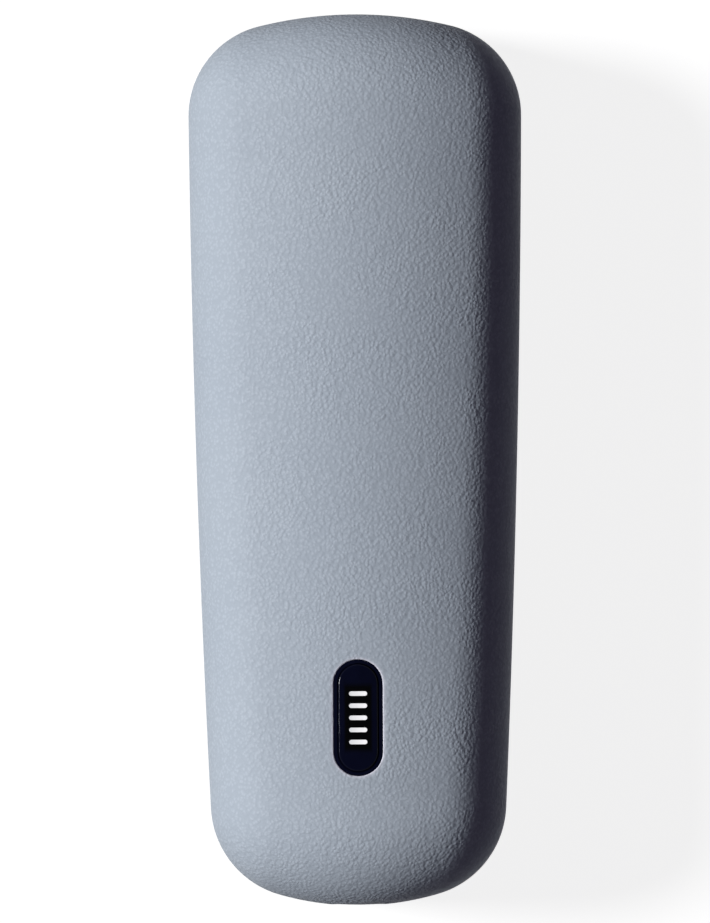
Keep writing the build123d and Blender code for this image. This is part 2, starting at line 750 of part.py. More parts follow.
def charge_chips():
    chips = []
    for way, y in zip((-1, 1), CHIP_YS):
        chip = Pos(way * CHIP_X, y, BOARD_TOP + CHIP_HEIGHT / 2) * Box(CHIP_SIZE, CHIP_SIZE, CHIP_HEIGHT)
        chips.append(chamfer(chip.faces().sort_by(Axis.Z)[-1].edges(), CHIP_CHAMFER))
    return Compound(chips)


def board_screws():
    screws = []
    for x, y in board_places():
        low = BOARD_UNDER - BOARD_SCREW_HEAD
        head = disc(x, y, BOARD_SCREW_HEAD_RADIUS, low, BOARD_UNDER)
        shank = disc(x, y, BOARD_SCREW_RADIUS, BOARD_UNDER, BOARD_TOP + BOARD_SCREW_REACH)
        screws.append(cross_slotted(head + shank, x, y, low, 1, BOARD_SCREW_HEAD_RADIUS))
    return Compound(screws)


# Battery, its pad, leads and plug
def battery_pad():
    half = CELL_WIDTH / 2 - CELL_PAD_MARGIN
    start = CELL_END_Y + CELL_PAD_MARGIN
    end = CELL_END_Y + CELL_LENGTH - CELL_PAD_MARGIN
    return box(-half, half, start, end, ROOF_OUTER, ROOF_OUTER + CELL_PAD)


def battery_cell():
    half = CELL_WIDTH / 2
    low = ROOF_OUTER + CELL_PAD
    cell = box(-half, half, CELL_END_Y, CELL_END_Y + CELL_LENGTH, low, low + CELL_THICKNESS)
    return fillet(cell.edges().filter_by(Axis.Y), CELL_EDGE)


def plug_back_y():
    return BOARD_END_Y + BOARD_LENGTH - LEAD_RADIUS


def battery_plug():
    width, length, height = PLUG_SIZE
    back = plug_back_y()
    return box(-width / 2, width / 2, back - length, back, BOARD_TOP, BOARD_TOP + height)


def battery_leads():
    z = BOARD_TOP + PLUG_SIZE[2] / 2
    face = Plane.XZ * Circle(LEAD_RADIUS)
    lead = Solid.extrude(face.faces()[0], Vector(0, CELL_END_Y - plug_back_y(), 0))
    return Compound([Pos(x, plug_back_y(), z) * lead for x in (-LEAD_X, LEAD_X)])


# Sprung contacts that touch the shaver's handle
def contact_block():
    piece = box(
        -BLOCK_WIDTH / 2, BLOCK_WIDTH / 2, CONTACT_Y - BLOCK_LENGTH / 2, CONTACT_Y + BLOCK_LENGTH / 2,
        ROOF_OUTER + LINER_GAP, BOARD_UNDER,
    )
    for x in (-CONTACT_X, CONTACT_X):
        piece -= disc(x, CONTACT_Y, BARREL_RADIUS, ROOF_OUTER, BOARD_UNDER)
    return piece


def barrel_low():
    return ROOF_INNER - BARREL_WINDOW


def collar_low():
    return barrel_low() + BARREL_LIP + PIN_RUN


def contact_barrels():
    barrels = []
    for x in (-CONTACT_X, CONTACT_X):
        low = barrel_low()
        tube = disc(x, CONTACT_Y, BARREL_RADIUS, low, BOARD_UNDER)
        tube -= disc(x, CONTACT_Y, BARREL_MOUTH, low, low + BARREL_LIP)
        barrels.append(tube - disc(x, CONTACT_Y, BARREL_BORE, low + BARREL_LIP, BOARD_UNDER - BARREL_HEAD))
    return Compound(barrels)


def contact_pin(x):
    tip_radius = BARREL_MOUTH - PIN_RUN
    tip = disc(x, CONTACT_Y, tip_radius, ROOF_INNER - CONTACT_REACH, collar_low())
    tip = fillet(tip.faces().sort_by(Axis.Z)[0].edges(), PIN_TIP_ROUND)
    return tip + disc(x, CONTACT_Y, BARREL_BORE - PIN_RUN, collar_low(), collar_low() + PIN_COLLAR)


def contact_spring(x):
    low = collar_low() + PIN_COLLAR + PIN_RUN + SPRING_WIRE
    high = BOARD_UNDER - BARREL_HEAD - PIN_RUN - SPRING_WIRE
    radius = BARREL_BORE - PIN_RUN - 2 * SPRING_WIRE
    path = Helix((high - low) / SPRING_TURNS, high - low, radius)
    section = Plane(origin=path @ 0, z_dir=path % 0) * Circle(SPRING_WIRE)
    return Pos(x, CONTACT_Y, low) * sweep(section, path)


# Power inlet in the narrow end, with its pins and leads
def inlet_face_y():
    return FOOT_END_Y + INLET_SINK


def inlet_back_y():
    return FOOT_END_Y + INLET_BACK


def power_inlet():
    body = inlet_prism(INLET_WALL, -CASE_LENGTH, inlet_back_y()) & half_form(LID, INLET_SINK)
    flange_end = FOOT_END_Y + SHELL_INNER + INLET_FLANGE
    flange = inlet_prism(INLET_WALL + INLET_FLANGE_GROW, -CASE_LENGTH, flange_end)
    flange &= half_form(LID, SHELL_INNER) & beyond(LID, RIM_BAND + LINER_GAP)
    piece = body + flange
    piece -= inlet_prism(0, -CASE_LENGTH, inlet_face_y() + INLET_DEPTH)
    for pin in inlet_pin_list():
        piece -= pin
    return piece


def inlet_pin_list():
    start = inlet_face_y() + INLET_PIN_SHORT
    face = Plane.XZ * Circle(INLET_PIN_RADIUS)
    pin = Solid.extrude(face.faces()[0], Vector(0, inlet_back_y() + INLET_TAIL - start, 0))
    return [Pos(x, start, PART_Z + INLET_RISE) * pin for x in (-INLET_PIN_X, INLET_PIN_X)]


def inlet_pins():
    pins = []
    for pin in inlet_pin_list():
        pins.append(chamfer(pin.faces().sort_by(Axis.Y)[0].edges(), INLET_PIN_CHAMFER))
    return Compound(pins)


def inlet_leads():
    z = PART_Z + INLET_RISE
    start = inlet_back_y() + INLET_TAIL
    rise_y = start + 2 * LEAD_BEND - LEAD_RADIUS
    end_y = BOARD_END_Y + LEAD_BEND
    run_z = BOARD_UNDER - LEAD_BEND
    leads = []
    for x in (-INLET_PIN_X, INLET_PIN_X):
        rise = [(x, start, z), (x, rise_y, z), (x, rise_y, run_z)]
        run = [(x, end_y, run_z), (x, end_y, BOARD_UNDER)]
        path = FilletPolyline(*rise, *run, radius=[LEAD_BEND, LEAD_BEND, LEAD_LAST_BEND])
        section = Plane(origin=path @ 0, z_dir=path % 0) * Circle(LEAD_RADIUS)
        leads.append(sweep(section, path))
    return Compound(leads)


def write(name, shape):
    solids = list(shape.solids())
    export_step(solids[0] if len(solids) == 1 else Compound(solids), f"parts/{name}.step")


NODES = {
    "base_skin": base_skin,
    "base_shell": base_shell,
    "base_rim": lambda: rim(BASE),
    "base_liner": base_liner,
    "base_screws": lambda: deck_screws(BASE),
    "closing_magnets": lambda: deck_discs(BASE),
    "closing_bumpers": closing_bumpers,
    "feet": feet,
    "hinge_pin": hinge_pin,
    "lid_skin": lid_skin,
    "lid_shell": lid_shell,
    "lid_rim": lid_rim,
    "lid_liner": lid_liner,
    "lid_screws": lambda: deck_screws(LID),
    "magnet_keepers": lambda: deck_discs(LID),
    "indicator_bezel": indicator_bezel,
    "indicator_button": indicator_button,
    "light_guide": light_guide,
    "switch_plunger": switch_plunger,
    "switch_body": switch_body,
    "button_return_pad": button_return_pad,
    "control_board": control_board,
    "status_leds": status_leds,
    "charge_chips": charge_chips,
    "board_screws": board_screws,
    "battery_pad": battery_pad,
    "battery_cell": battery_cell,
    "battery_plug": battery_plug,
    "battery_leads": battery_leads,
    "contact_block": contact_block,
    "contact_barrels": contact_barrels,
    "contact_pin_left": lambda: contact_pin(-CONTACT_X),
    "contact_pin_right": lambda: contact_pin(CONTACT_X),
    "contact_spring_left": lambda: contact_spring(-CONTACT_X),
    "contact_spring_right": lambda: contact_spring(CONTACT_X),
    "power_inlet": power_inlet,
    "inlet_pins": inlet_pins,
    "inlet_leads": inlet_leads,
}

for name, make in NODES.items():
    write(name, make())

hinge = hinge_plane()
print("hinge at", hinge.origin, "along", hinge.z_dir)
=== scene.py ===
import bpy
import bmesh
import math
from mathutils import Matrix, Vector


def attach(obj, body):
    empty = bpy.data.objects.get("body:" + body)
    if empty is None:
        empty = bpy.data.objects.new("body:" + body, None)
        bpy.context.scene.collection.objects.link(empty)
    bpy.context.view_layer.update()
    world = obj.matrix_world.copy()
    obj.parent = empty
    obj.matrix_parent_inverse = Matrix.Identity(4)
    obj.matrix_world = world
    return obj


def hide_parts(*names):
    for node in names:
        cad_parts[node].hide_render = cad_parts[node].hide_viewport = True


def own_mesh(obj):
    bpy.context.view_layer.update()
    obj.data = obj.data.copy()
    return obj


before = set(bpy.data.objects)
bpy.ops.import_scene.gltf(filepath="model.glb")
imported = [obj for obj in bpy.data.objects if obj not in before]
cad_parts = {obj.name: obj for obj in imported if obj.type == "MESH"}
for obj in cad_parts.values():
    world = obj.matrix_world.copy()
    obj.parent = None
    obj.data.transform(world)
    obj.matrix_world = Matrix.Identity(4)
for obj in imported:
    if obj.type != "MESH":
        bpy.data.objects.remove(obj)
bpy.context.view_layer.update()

# Dresses the shaver charging case. The leather covers, screws, light guide, return ring and contact
# coils are made here, and every other piece keeps its shape and gets its finish. Sizes are in millimetres.
MM = 0.001

# Outer form
LENGTH = 198.0
WIDTH = 74.0
WIDTH_LOW = 65.7
WIDEST_FROM_TOP = 23.0
NARROWEST_FROM_BOTTOM = 22.0
SIDE_RADIUS = 4000.0
HEAD_END_RADIUS = 94.0
FOOT_END_RADIUS = 65.0
SHOULDER_RADIUS = 20.5
CORNER_RADIUS = 21.0
CROWN_RADIUS = 65.0
LID_ROLL = 19.5
BACK_ROLL = 14.0
HEIGHT = 56.6
FOOT_PROUD = 0.6
PART_Z = 28.6
PARTING_GAP = 0.3
RIM_BAND = 3.0

# Leather covers: thickness, turned edge, reach of the painted edge highlight and its strength at the rim
SKIN = 0.8
SKIN_EDGE = 0.35
EDGE_REACH = 1.0
RIM_PAINTED_HIGHLIGHT = 0.7

# Window in the lid's cover, and the hole for the power inlet
WINDOW_Y = -56.85
WINDOW_WIDTH = 10.8
WINDOW_LENGTH = 25.7
INLET_RISE = 8.0
INLET_WIDTH = 12.8
INLET_HEIGHT = 9.0
INLET_CUT = 12.0

# Deck screws, at the parting side of each half: places along the case and how far in they lie
SCREW_SPOTS = ((-1.5, 8.7), (-64.0, 6.6))
SCREW_SINK = 0.6
SCREW_HEAD = 1.1
SCREW_HEAD_RADIUS = 1.8
SCREW_RADIUS = 1.0
SCREW_LENGTH = 8.0

# Board screws, whose heads lie under the board
BOARD_SCREW_X = 13.0
BOARD_SCREW_YS = (-78.5, -37.5)
BOARD_UNDER = 49.8
BOARD_SCREW_HEAD = 1.0
BOARD_SCREW_HEAD_RADIUS = 1.7
BOARD_SCREW_RADIUS = 0.9
BOARD_SCREW_LENGTH = 2.2

# Cross-head screws, in shares of the head's radius and height and of the shank's radius
HEAD_SQUARENESS = 5.0
HEAD_EDGE = 0.55
RECESS_LENGTH = 1.3
RECESS_WIDTH = 0.3
RECESS_DEPTH = 1.1
RIDGE_DEPTH = 0.18
SCREW_SEED = 5

# Light guide: five bars on one block. A bar's points above its bend follow the crown.
BAR_COUNT = 5
BAR_PITCH = 2.67
BAR_LENGTH = 4.0
BAR_THICKNESS = 1.0
BAR_END = 0.499
BAR_FOOT_Z = 54.5
BAR_BEND_Z = 55.5
BAR_TOP_Z = 56.53
BAR_ROUND = 0.12
GUIDE_WIDTH = 6.0
GUIDE_LENGTH = 15.0
GUIDE_CORNER = 1.0
GUIDE_Z = 54.0
GUIDE_THICKNESS = 1.0

# Silicone ring that lifts the button: its plan, wall and waist, its foot's height and how far under the crown
# its top lies
RING_WIDTH = 10.7
RING_LENGTH = 25.6
RING_WALL = 0.7
RING_WAIST = 0.12
RING_FOOT_Z = 50.8
RING_UNDER_CROWN = 4.37

# Springs of the charging contacts
COIL_X = 3.5
COIL_Y = -74.0
COIL_LOW_Z = 47.14
COIL_HIGH_Z = 49.36
COIL_RADIUS = 0.57
COIL_WIRE = 0.09
COIL_TURNS = 3

# How finely the covers are meshed
COLUMN_PITCH = 1.3
CAP_RINGS = 14
ROLL_RINGS = 18
WALL_RINGS = 5
EDGE_RINGS = 4
MERGE_GAP = 0.002

# Seam along the middle of the covers, where their columns meet: how far from each end it stops, and how
# far past its stops columns still end at its last points. Below the window's lead they end on the window.
SEAM_HEAD_ROOM = 44.0
SEAM_HEAD_PAST = 20.0
SEAM_FOOT_ROOM = 32.0
SEAM_FOOT_PAST = 12.0
WINDOW_LEAD = 6.0

# How finely the small pieces are meshed, and the angle in degrees up to which edges look smooth
SCREW_SIDES = 32
HEAD_POINTS = 9
THREAD_POINTS = 17
CORNER_POINTS = 8
BEVEL_STEPS = 3
RING_STEPS = 48
COIL_STEPS = 32
WIRE_SIDES = 12
INLET_SIDES = 24
SMOOTH_ANGLE = 35

# The photograph's frame and scale, the middle of the case in it, in pixels, and the camera's roll in degrees
FRAME_WIDTH = 710
FRAME_HEIGHT = 923
PIXELS_PER_MM = 4.4934
CASE_X = 356.74
CASE_Y = 459.95
CAMERA_ROLL = -0.314
CAMERA_DISTANCE = 2500.0
SENSOR_WIDTH = 36.0
WAIST_Z = 33.0
VIEW_REACH = 100.0

# One soft sun from the left: its strength, its spread and its tilt from straight above in degrees, and
# how far it leans towards the broad end
SUN_STRENGTH = 3.25
SUN_SPREAD = 14
SUN_TILT = 51
SUN_LEAN = 0.11

# Faint violet fill, and the room that gloss mirrors: how bright its walls and ceiling are, and how high up
# the one fades into the other
WHITE = (1, 1, 1, 1)
FILL_COLOUR = (1.0, 0.78, 1.26, 1)
FILL_STRENGTH = 0.035
WALL_GLOW = 0.6
CEILING_GLOW = 0.05
WALL_TOP = 0.35
CEILING_EDGE = 0.8

# Floor, in metres, with its tone and glow where it is seen and its tone where it only throws light back
FLOOR_REACH = 6.0
FLOOR_SEEN = (0.26, 0.26, 0.26, 1)
FLOOR_GLOW = 0.86
FLOOR_DIM = (0.03, 0.027, 0.036, 1)

# Leather: its hollows, pebbles and painted edge highlight, and its grain in metres and shares
# The hollows' colour is painted shade, darker than the pebbles' tops
LEATHER_HOLLOW_SHADE = (0.455, 0.515, 0.583)
LEATHER_PEBBLE = (0.525, 0.588, 0.661)
LEATHER_PAINTED_HIGHLIGHT = (0.84, 0.84, 0.94, 1)
PAINTED_HIGHLIGHT_FADE = 2.2
PEBBLE_SCALE = 1650.0
PEBBLE_SMOOTHNESS = 0.4
PEBBLE_STRETCH = (1.3, 1.35, 1.3)
PEBBLE_SLANT = -32
PEBBLE_WARP = 0.0008
WARP_SCALE = 420.0
PEBBLE_DEPTH = 0.00014
FINE_GRAIN = 0.3
SMOOTH_PATCH = 0.6
ROUGH_PATCH = 1.1

# Window: its navy gloss, and the black panel behind the bars with the width of its soft edge
NAVY_DARK = (0.0019, 0.0027, 0.0125)
NAVY_LIGHT = (0.0026, 0.0036, 0.0155)
PANEL_BLACK = (0.0012, 0.0013, 0.002, 1)
PANEL_HALF_WIDTH = 3.0
PANEL_HALF_LENGTH = 7.3
PANEL_FADE = 0.08

# Lit bars: the span over which a bar's glow changes, as a share of its length, and how strong its grain is
GLOW_SPAN = 1.1
GLOW_GRAIN = 0.15

# Moulded plastics: dark and light tone, roughness, scale and depth of the grain, and the pieces they dress
PLASTICS = {
    "rim_plastic": (((0.010, 0.010, 0.012), (0.022, 0.022, 0.025), 0.5, 2800.0, 0.00004),
                    ("base_rim", "lid_rim", "power_inlet")),
    "shell_plastic": (((0.02, 0.02, 0.022), (0.035, 0.035, 0.04), 0.6, 1800.0, 0.00005),
                      ("base_shell", "lid_shell")),
    "component_black": (((0.012, 0.012, 0.012), (0.025, 0.025, 0.025), 0.45, 3000.0, 0.00003),
                        ("switch_body", "switch_plunger", "charge_chips", "contact_block")),
    "plug_ivory": (((0.68, 0.64, 0.52), (0.74, 0.71, 0.62), 0.4, 2600.0, 0.00002),
                   ("battery_plug",)),
}

# Metals: colour and roughness, and the pieces they dress
METALS = {
    "screw_steel": (((0.62, 0.62, 0.64), 0.3), ("hinge_pin",)),
    "magnet_nickel": (((0.78, 0.77, 0.74), 0.18), ("closing_magnets",)),
    "keeper_steel": (((0.55, 0.56, 0.58), 0.38), ("magnet_keepers",)),
    "contact_gold": (((0.83, 0.62, 0.28), 0.22),
                     ("contact_barrels", "contact_pin_left", "contact_pin_right", "inlet_pins")),
}

# Silicone, foam and wire covers: colour, and the pieces they dress
RUBBERS = {
    "dark_silicone": (((0.018, 0.018, 0.02),), ("feet", "closing_bumpers")),
    "foam": (((0.03, 0.03, 0.032),), ("battery_pad",)),
    "red_lead": (((0.35, 0.012, 0.012),), ("battery_leads", "inlet_leads")),
}


# Plan of the case, as columns round its edge
def side_centre():
    broad = Vector((WIDTH / 2, LENGTH / 2 - WIDEST_FROM_TOP))
    narrow = Vector((WIDTH_LOW / 2, NARROWEST_FROM_BOTTOM - LENGTH / 2))
    along = broad - narrow
    outward = Vector((along.y, -along.x)).normalized()
    reach = math.sqrt(SIDE_RADIUS**2 - (along.length / 2) ** 2)
    return (broad + narrow) / 2 - outward * reach


def half_width(y):
    side = side_centre()
    return side.x + math.sqrt(SIDE_RADIUS**2 - (y - side.y) ** 2)


def tangent_centre(centre_a, radius_a, centre_b, radius_b, way):
    span = centre_b - centre_a
    along = (span.length**2 + radius_a**2 - radius_b**2) / (2 * span.length)
    off = math.sqrt(radius_a**2 - along**2)
    unit = span.normalized()
    normal = Vector((-unit.y, unit.x))
    foot = centre_a + unit * along
    return max((foot + normal * off, foot - normal * off), key=lambda point: point.y * way)


def edge_columns():
    """Centre, radius and outward direction of each column, once round from the broad end."""
    side = side_centre()
    head = Vector((0, LENGTH / 2 - HEAD_END_RADIUS))
    foot = Vector((0, FOOT_END_RADIUS - LENGTH / 2))
    shoulder = tangent_centre(head, HEAD_END_RADIUS - SHOULDER_RADIUS, side, SIDE_RADIUS - SHOULDER_RADIUS, 1)
    corner = tangent_centre(foot, FOOT_END_RADIUS - CORNER_RADIUS, side, SIDE_RADIUS - CORNER_RADIUS, -1)
    turns = [math.pi / 2]
    for centre, start in ((shoulder, head), (shoulder, side), (corner, side), (corner, foot)):
        reach = centre - start
        turns.append(math.atan2(reach.y, reach.x))
    turns.append(-math.pi / 2)
    centres = (head, shoulder, side, corner, foot)
    radii = (HEAD_END_RADIUS, SHOULDER_RADIUS, SIDE_RADIUS, CORNER_RADIUS, FOOT_END_RADIUS)
    right = []
    for centre, radius, start, end in zip(centres, radii, turns, turns[1:]):
        count = math.ceil(radius * abs(end - start) / COLUMN_PITCH)
        for i in range(count):
            turn = start + (end - start) * i / count
            right.append((centre, radius, Vector((math.cos(turn), math.sin(turn)))))
    right.append((foot, FOOT_END_RADIUS, Vector((0, -1))))
    flip = [(Vector((-c.x, c.y)), r, Vector((-n.x, n.y))) for c, r, n in reversed(right[1:-1])]
    return right, flip


# Surfaces of the two halves: a ball rolled along an inner edge, so every cover is a true offset
class LidForm:
    roll = LID_ROLL
    way = 1

    def crown_normal(self, x):
        slope = x / (CROWN_RADIUS - self.roll)
        return Vector((slope, 0, math.sqrt(1 - slope**2)))

    def inner_height(self, x):
        return HEIGHT - CROWN_RADIUS + math.sqrt((CROWN_RADIUS - self.roll) ** 2 - x**2)

    def height(self, x, inset):
        return HEIGHT - CROWN_RADIUS + math.sqrt((CROWN_RADIUS - inset) ** 2 - x**2)


class BaseForm:
    roll = BACK_ROLL
    way = -1

    def crown_normal(self, x):
        return Vector((0, 0, -1))

    def inner_height(self, x):
        return FOOT_PROUD + self.roll

    def height(self, x, inset):
        return FOOT_PROUD + inset


def pill_point(width, length, share):
    """A point on the right half of a pill, from its top (0) to its bottom (1), and the way out."""
    radius = width / 2
    straight = length - width
    reach = share * (math.pi * radius + straight)
    quarter = math.pi * radius / 2
    if reach < quarter:
        turn = math.pi / 2 - reach / radius
        out = Vector((math.cos(turn), math.sin(turn)))
        return out * radius + Vector((0, straight / 2)), out
    if reach < quarter + straight:
        return Vector((radius, straight / 2 - (reach - quarter))), Vector((1, 0))
    turn = -(reach - quarter - straight) / radius
    out = Vector((math.cos(turn), math.sin(turn)))
    return out * radius - Vector((0, straight / 2)), out


def inner_targets(columns, with_window):
    """Where each right-hand column ends in the middle: on the seam, or on the window's edge."""
    top = WINDOW_Y + WINDOW_LENGTH / 2
    split = top + WINDOW_LEAD
    seam_high = LENGTH / 2 - SEAM_HEAD_ROOM
    seam_low = -LENGTH / 2 + SEAM_FOOT_ROOM
    high = seam_high + SEAM_HEAD_PAST
    low = seam_low - SEAM_FOOT_PAST
    if with_window:
        seam_low = top + 2 * SKIN_EDGE
        low = split
    points = [centre + out * radius for centre, radius, out in columns]
    reach = [0.0]
    for a, b in zip(points, points[1:]):
        reach.append(reach[-1] + (b - a).length)
    start = next(i for i, point in enumerate(points) if point.y < split)
    targets = []
    for i, point in enumerate(points):
        if with_window and i >= start:
            share = (reach[i] - reach[start]) / (reach[-1] - reach[start])
            place, out = pill_point(WINDOW_WIDTH, WINDOW_LENGTH, share)
            targets.append((place + Vector((0, WINDOW_Y)), out))
        else:
            share = (min(max(point.y, low), high) - low) / (high - low)
            targets.append((Vector((0, seam_low + (seam_high - seam_low) * share)), None))
    return targets


def blend_directions(start, end, share):
    angle = start.angle(end)
    return (start * math.sin((1 - share) * angle) + end * math.sin(share * angle)) / math.sin(angle)


def edge_section(inset, steps):
    """Quarter-round of a cover's turned edge: how far in and how far proud each step lies."""
    for i in range(1, steps + 1):
        turn = math.pi / 2 * i / steps
        yield inset * (1 - math.cos(turn)), inset * (1 - math.sin(turn))


def column_line(form, column, target, inset):
    """Points of one column of a cover at one depth, from the middle out and down to the rim."""
    centre, radius, out = column
    inner = centre + out * (radius - form.roll)
    up = form.crown_normal(inner.x)
    side = Vector((out.x, out.y, 0))
    base = Vector((inner.x, inner.y, form.inner_height(inner.x)))
    ball = form.roll - inset
    shoulder = base + up * ball
    line = []
    place, way = target
    start = place + way * max(SKIN_EDGE - inset, 0) if way else place
    for i in range(CAP_RINGS):
        spot = start.lerp(Vector((shoulder.x, shoulder.y)), i / CAP_RINGS)
        line.append(Vector((spot.x, spot.y, form.height(spot.x, inset))))
    for i in range(ROLL_RINGS + 1):
        line.append(base + blend_directions(up, side, i / ROLL_RINGS) * ball)
    rim = PART_Z + form.way * (PARTING_GAP / 2 + RIM_BAND)
    end = rim + form.way * (SKIN_EDGE if inset == 0 else 0)
    wall = line[-1]
    for i in range(1, WALL_RINGS + 1):
        line.append(Vector((wall.x, wall.y, wall.z + (end - wall.z) * i / WALL_RINGS)))
    if inset == 0:
        for step_in, step_out in edge_section(SKIN_EDGE, EDGE_RINGS):
            spot = Vector((wall.x, wall.y, 0)) - side * step_in
            line.append(Vector((spot.x, spot.y, rim + form.way * step_out)))
    return line


def window_line(form, target):
    """Points of the cover's rolled edge at the window, from the wall's foot up to the top."""
    place, way = target
    line = [Vector((place.x, place.y, form.height(place.x, SKIN)))]
    for i in range(EDGE_RINGS):
        turn = math.pi / 2 * (1 - i / EDGE_RINGS)
        spot = place + way * SKIN_EDGE * (1 - math.sin(turn))
        line.append(Vector((spot.x, spot.y, form.height(spot.x, SKIN_EDGE * (1 - math.cos(turn))))))
    return line


def edge_share(point, form, target):
    """How much of the painted highlight along the leather's turned edge a point gets, from 0 to 1."""
    place, way = target
    rim = PART_Z + form.way * (PARTING_GAP / 2 + RIM_BAND)
    share = RIM_PAINTED_HIGHLIGHT * (1.0 - abs(point.z - rim) / EDGE_REACH)
    if way:
        share = max(share, 1.0 - (Vector((point.x, point.y)) - place).length / EDGE_REACH)
    return max(0.0, share)


def mirror(point):
    return Vector((-point.x, point.y))


def join_loops(mesh, loops, open_sheet=None):
    """Faces between neighbouring loops, once round. A loop no longer than open_sheet stays open."""
    for a, b in zip(loops, loops[1:] + loops[:1]):
        closed = open_sheet is None or min(len(a), len(b)) > open_sheet
        for i in range(len(a) if closed else open_sheet - 1):
            j = (i + 1) % len(a)
            mesh.faces.new([a[i], a[j], b[j], b[i]])


def cover_mesh(name, form, with_window):
    right, left = edge_columns()
    targets = inner_targets(right, with_window)
    mirrored = [(mirror(place), mirror(way) if way else None) for place, way in targets]
    ends = targets + mirrored[-2:0:-1]
    mesh = bmesh.new()
    # Each point's share of the painted highlight along the turned edges
    turned = mesh.verts.layers.float.new("turned")
    loops = []
    for column, target in zip(right + left, ends):
        outer = column_line(form, column, target, 0.0)
        inner = column_line(form, column, target, SKIN)
        line = outer + inner[::-1]
        sheet = len(line)
        if target[1]:
            line += window_line(form, target)
        loops.append([mesh.verts.new(point * MM) for point in line])
        for vert, point in zip(loops[-1], line):
            vert[turned] = edge_share(point, form, target)
    join_loops(mesh, loops, sheet)
    bmesh.ops.remove_doubles(mesh, verts=mesh.verts, dist=MERGE_GAP * MM)
    bmesh.ops.recalc_face_normals(mesh, faces=mesh.faces)
    return finish_mesh(name, mesh)


def finish_mesh(name, mesh):
    data = bpy.data.meshes.new(name)
    mesh.to_mesh(data)
    mesh.free()
    piece = bpy.data.objects.new(name, data)
    bpy.context.scene.collection.objects.link(piece)
    for face in data.polygons:
        face.use_smooth = True
    return piece


def smooth_by_angle(piece):
    data = piece.data
    mesh = bmesh.new()
    mesh.from_mesh(data)
    for edge in mesh.edges:
        edge.smooth = len(edge.link_faces) == 2 and edge.calc_face_angle() < math.radians(SMOOTH_ANGLE)
    for face in mesh.faces:
        face.smooth = True
    mesh.to_mesh(data)
    mesh.free()


def pill_prism(name, width, height, y_from, y_to, z):
    """A pill-shaped bar along Y, used to cut the inlet's hole."""
    mesh = bmesh.new()
    radius = height / 2
    ring = []
    for side, start in ((1, -math.pi / 2), (-1, math.pi / 2)):
        for i in range(INLET_SIDES + 1):
            turn = start + math.pi * i / INLET_SIDES
            ring.append(((width / 2 - radius) * side + radius * math.cos(turn), z + radius * math.sin(turn)))
    near = [mesh.verts.new(Vector((x, y_from, h)) * MM) for x, h in ring]
    far = [mesh.verts.new(Vector((x, y_to, h)) * MM) for x, h in ring]
    for i in range(len(ring)):
        j = (i + 1) % len(ring)
        mesh.faces.new([near[i], near[j], far[j], far[i]])
    mesh.faces.new(near)
    mesh.faces.new(far[::-1])
    bmesh.ops.recalc_face_normals(mesh, faces=mesh.faces)
    return finish_mesh(name, mesh)


def plain_mesh(piece):
    """The mesh that a piece's modifiers make of it."""
    bpy.context.view_layer.update()
    graph = bpy.context.evaluated_depsgraph_get()
    data = bpy.data.meshes.new_from_object(piece.evaluated_get(graph))
    piece.modifiers.clear()
    piece.data = data


def cut(piece, cutter):
    change = piece.modifiers.new("cut", "BOOLEAN")
    change.operation = "DIFFERENCE"
    change.object = cutter
    change.solver = "EXACT"
    plain_mesh(piece)
    bpy.data.objects.remove(cutter)


# Building blocks of the materials
def put(tree, kind, sockets=None, **settings):
    """Adds a node. A socket in sockets is linked, and any other value is set."""
    made = tree.nodes.new(kind if "Node" in kind else "ShaderNode" + kind)
    for key, value in settings.items():
        setattr(made, key, value)
    for key, value in (sockets or {}).items():
        if isinstance(value, bpy.types.NodeSocket):
            tree.links.new(value, made.inputs[key])
        else:
            made.inputs[key].default_value = value
    return made


def new_material(name, **constants):
    """A material with its constants on the shader's own sockets, and its Object coordinates."""
    made = bpy.data.materials.new(name)
    made.use_nodes = True
    tree = made.node_tree
    shader = tree.nodes["Principled BSDF"]
    for key, value in constants.items():
        shader.inputs[key.replace("_", " ")].default_value = value
    place = put(tree, "TexCoord").outputs["Object"]
    return made, tree, shader, place


def feed(tree, shader, **sockets):
    """Links each named socket of the shader."""
    for key, value in sockets.items():
        tree.links.new(value, shader.inputs[key.replace("_", " ")])


def ramp(tree, value, stops):
    made = put(tree, "ValToRGB", {"Fac": value})
    for element, (place, colour) in zip(made.color_ramp.elements, stops):
        element.position = place
        element.color = (*colour, 1)
    return made.outputs["Color"]


def scaled(tree, value, low, high, value_low=0.0, value_high=1.0):
    """A value from value_low to value_high, spread from low to high."""
    spread = {"Value": value, "From Min": value_low, "From Max": value_high, "To Min": low, "To Max": high}
    return put(tree, "MapRange", spread).outputs["Result"]


def math_node(tree, operation, a, b):
    return put(tree, "Math", {0: a, 1: b}, operation=operation).outputs[0]


def mixed(tree, share, first, second, way="MIX"):
    made = put(tree, "Mix", {0: share, 6: first, 7: second}, data_type="RGBA", blend_type=way)
    return made.outputs[2]


def noise(tree, place, scale, detail, **more):
    """Noise at a place. Its other sockets, such as Distortion, are given by name."""
    return put(tree, "TexNoise", {"Vector": place, "Scale": scale, "Detail": detail, **more}).outputs["Fac"]


def bumped(tree, shader, height, distance):
    bump = put(tree, "Bump", {"Height": height, "Distance": distance, "Strength": 1.0})
    feed(tree, shader, Normal=bump.outputs["Normal"])


